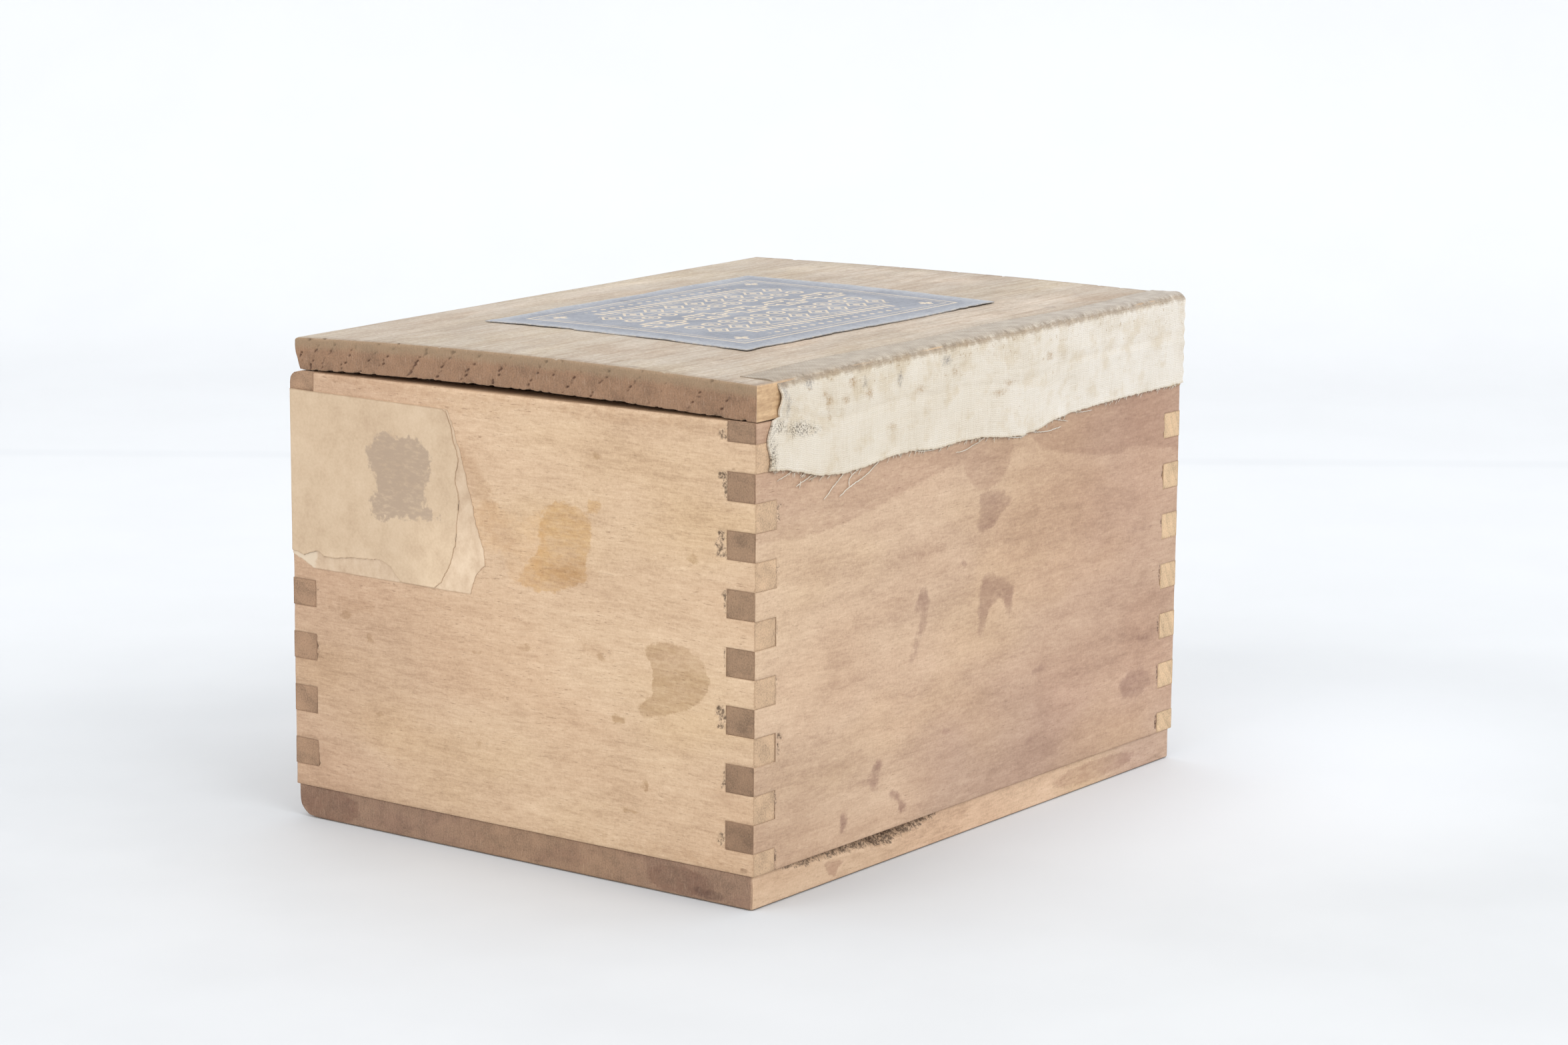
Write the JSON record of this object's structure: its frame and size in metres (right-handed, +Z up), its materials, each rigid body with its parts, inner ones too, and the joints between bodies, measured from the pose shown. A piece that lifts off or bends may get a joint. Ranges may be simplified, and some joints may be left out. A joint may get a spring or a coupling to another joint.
{
  "type": "boxed jigsaw puzzle",
  "caption": "Small comb-jointed wooden box with a cloth-hinged lid, holding a plywood jigsaw puzzle whose pieces are stacked in piles.",
  "frame": {"origin": "middle of the footprint, on the surface the box stands on", "axes": "+X along the hinge, towards the end with the paper seal; +Y towards the cloth hinge at the back; +Z up"},
  "size_m": [0.1502, 0.1146, 0.1006],
  "materials": {
    "end_wall_wood": "bare light fine-grained wood, worn and stained",
    "long_wall_wood": "bare pinkish brown wood, worn",
    "base_wood": "bare brown wood, darker on the end grain",
    "lid_wood": "weathered grey-brown wood, pitted end grain",
    "linen_tape": "off-white plain-woven linen tape, soiled",
    "label_paper": "slate blue label paper with a dull gold border",
    "seal_paper": "aged tan paper, torn",
    "jigsaw_ply": "three-ply board with a printed paper face",
    "brad_steel": "dull steel"
  },
  "bodies": {
    "box": {"base_board": "base_wood", "front_wall": "long_wall_wood", "back_wall": "long_wall_wood", "left_end_wall": "end_wall_wood", "right_end_wall": "end_wall_wood", "hinge_tape_wall": "linen_tape", "paper_seal": "seal_paper", "brad_front_a": "brad_steel", "brad_front_b": "brad_steel", "brad_front_c": "brad_steel", "brad_back_a": "brad_steel", "brad_back_b": "brad_steel", "brad_back_c": "brad_steel", "brad_left": "brad_steel", "brad_right": "brad_steel"},
    "lid": {"lid": "lid_wood", "hinge_tape_lid": "linen_tape", "lid_label": "label_paper"},
    "piece_r1c1": {"piece_r1c1": "jigsaw_ply"},
    "piece_r5c4": {"piece_r5c4": "jigsaw_ply"},
    "piece_r2c7": {"piece_r2c7": "jigsaw_ply"},
    "piece_r4c2": {"piece_r4c2": "jigsaw_ply"},
    "piece_r1c5": {"piece_r1c5": "jigsaw_ply"},
    "piece_r6c3": {"piece_r6c3": "jigsaw_ply"},
    "piece_r4c6": {"piece_r4c6": "jigsaw_ply"},
    "piece_r6c6": {"piece_r6c6": "jigsaw_ply"},
    "piece_r3c1": {"piece_r3c1": "jigsaw_ply"},
    "piece_r2c3": {"piece_r2c3": "jigsaw_ply"},
    "piece_r5c7": {"piece_r5c7": "jigsaw_ply"},
    "piece_r1c4": {"piece_r1c4": "jigsaw_ply"},
    "piece_r6c2": {"piece_r6c2": "jigsaw_ply"},
    "piece_r3c4": {"piece_r3c4": "jigsaw_ply"},
    "piece_r1c7": {"piece_r1c7": "jigsaw_ply"},
    "piece_r2c2": {"piece_r2c2": "jigsaw_ply"},
    "piece_r6c5": {"piece_r6c5": "jigsaw_ply"},
    "piece_r5c1": {"piece_r5c1": "jigsaw_ply"},
    "piece_r3c6": {"piece_r3c6": "jigsaw_ply"},
    "piece_r4c3": {"piece_r4c3": "jigsaw_ply"},
    "piece_r5c2": {"piece_r5c2": "jigsaw_ply"},
    "piece_r1c3": {"piece_r1c3": "jigsaw_ply"},
    "piece_r5c6": {"piece_r5c6": "jigsaw_ply"},
    "piece_r2c1": {"piece_r2c1": "jigsaw_ply"},
    "piece_r6c4": {"piece_r6c4": "jigsaw_ply"},
    "piece_r4c7": {"piece_r4c7": "jigsaw_ply"},
    "piece_r2c5": {"piece_r2c5": "jigsaw_ply"},
    "piece_r3c3": {"piece_r3c3": "jigsaw_ply"},
    "piece_r5c5": {"piece_r5c5": "jigsaw_ply"},
    "piece_r6c7": {"piece_r6c7": "jigsaw_ply"},
    "piece_r1c2": {"piece_r1c2": "jigsaw_ply"},
    "piece_r4c1": {"piece_r4c1": "jigsaw_ply"},
    "piece_r2c4": {"piece_r2c4": "jigsaw_ply"},
    "piece_r1c6": {"piece_r1c6": "jigsaw_ply"},
    "piece_r3c5": {"piece_r3c5": "jigsaw_ply"},
    "piece_r6c1": {"piece_r6c1": "jigsaw_ply"},
    "piece_r5c3": {"piece_r5c3": "jigsaw_ply"},
    "piece_r3c7": {"piece_r3c7": "jigsaw_ply"},
    "piece_r2c6": {"piece_r2c6": "jigsaw_ply"},
    "piece_r3c2": {"piece_r3c2": "jigsaw_ply"},
    "piece_r4c4": {"piece_r4c4": "jigsaw_ply"},
    "piece_r4c5": {"piece_r4c5": "jigsaw_ply"}
  },
  "joints": [
    {"name": "lid_hinge", "type": "hinge", "parent": "box", "child": "lid", "pos_m": [-0.00007, 0.0573, 0.0898], "axis": [-1, 0, 0], "range_deg": [0, 172]},
    {"name": "piece_r1c1_lift", "type": "slide", "parent": "box", "child": "piece_r1c1", "axis": [0, 0, 1], "range_m": [0, 0.038]},
    {"name": "piece_r5c4_lift", "type": "slide", "parent": "piece_r1c1", "child": "piece_r5c4", "axis": [0, 0, 1], "range_m": [0, 0.038]},
    {"name": "piece_r2c7_lift", "type": "slide", "parent": "piece_r5c4", "child": "piece_r2c7", "axis": [0, 0, 1], "range_m": [0, 0.038]},
    {"name": "piece_r4c2_lift", "type": "slide", "parent": "piece_r2c7", "child": "piece_r4c2", "axis": [0, 0, 1], "range_m": [0, 0.038]},
    {"name": "piece_r1c5_lift", "type": "slide", "parent": "piece_r4c2", "child": "piece_r1c5", "axis": [0, 0, 1], "range_m": [0, 0.038]},
    {"name": "piece_r6c3_lift", "type": "slide", "parent": "piece_r1c5", "child": "piece_r6c3", "axis": [0, 0, 1], "range_m": [0, 0.038]},
    {"name": "piece_r4c6_lift", "type": "slide", "parent": "piece_r6c3", "child": "piece_r4c6", "axis": [0, 0, 1], "range_m": [0, 0.038]},
    {"name": "piece_r6c6_lift", "type": "slide", "parent": "box", "child": "piece_r6c6", "axis": [0, 0, 1], "range_m": [0, 0.038]},
    {"name": "piece_r3c1_lift", "type": "slide", "parent": "piece_r6c6", "child": "piece_r3c1", "axis": [0, 0, 1], "range_m": [0, 0.038]},
    {"name": "piece_r2c3_lift", "type": "slide", "parent": "piece_r3c1", "child": "piece_r2c3", "axis": [0, 0, 1], "range_m": [0, 0.038]},
    {"name": "piece_r5c7_lift", "type": "slide", "parent": "piece_r2c3", "child": "piece_r5c7", "axis": [0, 0, 1], "range_m": [0, 0.038]},
    {"name": "piece_r1c4_lift", "type": "slide", "parent": "piece_r5c7", "child": "piece_r1c4", "axis": [0, 0, 1], "range_m": [0, 0.038]},
    {"name": "piece_r6c2_lift", "type": "slide", "parent": "piece_r1c4", "child": "piece_r6c2", "axis": [0, 0, 1], "range_m": [0, 0.038]},
    {"name": "piece_r3c4_lift", "type": "slide", "parent": "piece_r6c2", "child": "piece_r3c4", "axis": [0, 0, 1], "range_m": [0, 0.038]},
    {"name": "piece_r1c7_lift", "type": "slide", "parent": "box", "child": "piece_r1c7", "axis": [0, 0, 1], "range_m": [0, 0.038]},
    {"name": "piece_r2c2_lift", "type": "slide", "parent": "piece_r1c7", "child": "piece_r2c2", "axis": [0, 0, 1], "range_m": [0, 0.038]},
    {"name": "piece_r6c5_lift", "type": "slide", "parent": "piece_r2c2", "child": "piece_r6c5", "axis": [0, 0, 1], "range_m": [0, 0.038]},
    {"name": "piece_r5c1_lift", "type": "slide", "parent": "piece_r6c5", "child": "piece_r5c1", "axis": [0, 0, 1], "range_m": [0, 0.038]},
    {"name": "piece_r3c6_lift", "type": "slide", "parent": "piece_r5c1", "child": "piece_r3c6", "axis": [0, 0, 1], "range_m": [0, 0.038]},
    {"name": "piece_r4c3_lift", "type": "slide", "parent": "piece_r3c6", "child": "piece_r4c3", "axis": [0, 0, 1], "range_m": [0, 0.038]},
    {"name": "piece_r5c2_lift", "type": "slide", "parent": "piece_r4c3", "child": "piece_r5c2", "axis": [0, 0, 1], "range_m": [0, 0.038]},
    {"name": "piece_r1c3_lift", "type": "slide", "parent": "box", "child": "piece_r1c3", "axis": [0, 0, 1], "range_m": [0, 0.038]},
    {"name": "piece_r5c6_lift", "type": "slide", "parent": "piece_r1c3", "child": "piece_r5c6", "axis": [0, 0, 1], "range_m": [0, 0.038]},
    {"name": "piece_r2c1_lift", "type": "slide", "parent": "piece_r5c6", "child": "piece_r2c1", "axis": [0, 0, 1], "range_m": [0, 0.038]},
    {"name": "piece_r6c4_lift", "type": "slide", "parent": "piece_r2c1", "child": "piece_r6c4", "axis": [0, 0, 1], "range_m": [0, 0.038]},
    {"name": "piece_r4c7_lift", "type": "slide", "parent": "piece_r6c4", "child": "piece_r4c7", "axis": [0, 0, 1], "range_m": [0, 0.038]},
    {"name": "piece_r2c5_lift", "type": "slide", "parent": "piece_r4c7", "child": "piece_r2c5", "axis": [0, 0, 1], "range_m": [0, 0.038]},
    {"name": "piece_r3c3_lift", "type": "slide", "parent": "piece_r2c5", "child": "piece_r3c3", "axis": [0, 0, 1], "range_m": [0, 0.038]},
    {"name": "piece_r5c5_lift", "type": "slide", "parent": "box", "child": "piece_r5c5", "axis": [0, 0, 1], "range_m": [0, 0.038]},
    {"name": "piece_r6c7_lift", "type": "slide", "parent": "piece_r5c5", "child": "piece_r6c7", "axis": [0, 0, 1], "range_m": [0, 0.038]},
    {"name": "piece_r1c2_lift", "type": "slide", "parent": "piece_r6c7", "child": "piece_r1c2", "axis": [0, 0, 1], "range_m": [0, 0.038]},
    {"name": "piece_r4c1_lift", "type": "slide", "parent": "piece_r1c2", "child": "piece_r4c1", "axis": [0, 0, 1], "range_m": [0, 0.038]},
    {"name": "piece_r2c4_lift", "type": "slide", "parent": "piece_r4c1", "child": "piece_r2c4", "axis": [0, 0, 1], "range_m": [0, 0.038]},
    {"name": "piece_r1c6_lift", "type": "slide", "parent": "piece_r2c4", "child": "piece_r1c6", "axis": [0, 0, 1], "range_m": [0, 0.038]},
    {"name": "piece_r3c5_lift", "type": "slide", "parent": "piece_r1c6", "child": "piece_r3c5", "axis": [0, 0, 1], "range_m": [0, 0.038]},
    {"name": "piece_r6c1_lift", "type": "slide", "parent": "box", "child": "piece_r6c1", "axis": [0, 0, 1], "range_m": [0, 0.038]},
    {"name": "piece_r5c3_lift", "type": "slide", "parent": "piece_r6c1", "child": "piece_r5c3", "axis": [0, 0, 1], "range_m": [0, 0.038]},
    {"name": "piece_r3c7_lift", "type": "slide", "parent": "piece_r5c3", "child": "piece_r3c7", "axis": [0, 0, 1], "range_m": [0, 0.038]},
    {"name": "piece_r2c6_lift", "type": "slide", "parent": "piece_r3c7", "child": "piece_r2c6", "axis": [0, 0, 1], "range_m": [0, 0.038]},
    {"name": "piece_r3c2_lift", "type": "slide", "parent": "piece_r2c6", "child": "piece_r3c2", "axis": [0, 0, 1], "range_m": [0, 0.038]},
    {"name": "piece_r4c4_lift", "type": "slide", "parent": "piece_r3c2", "child": "piece_r4c4", "axis": [0, 0, 1], "range_m": [0, 0.038]},
    {"name": "piece_r4c5_lift", "type": "slide", "parent": "piece_r4c4", "child": "piece_r4c5", "axis": [0, 0, 1], "range_m": [0, 0.038]}
  ]
}
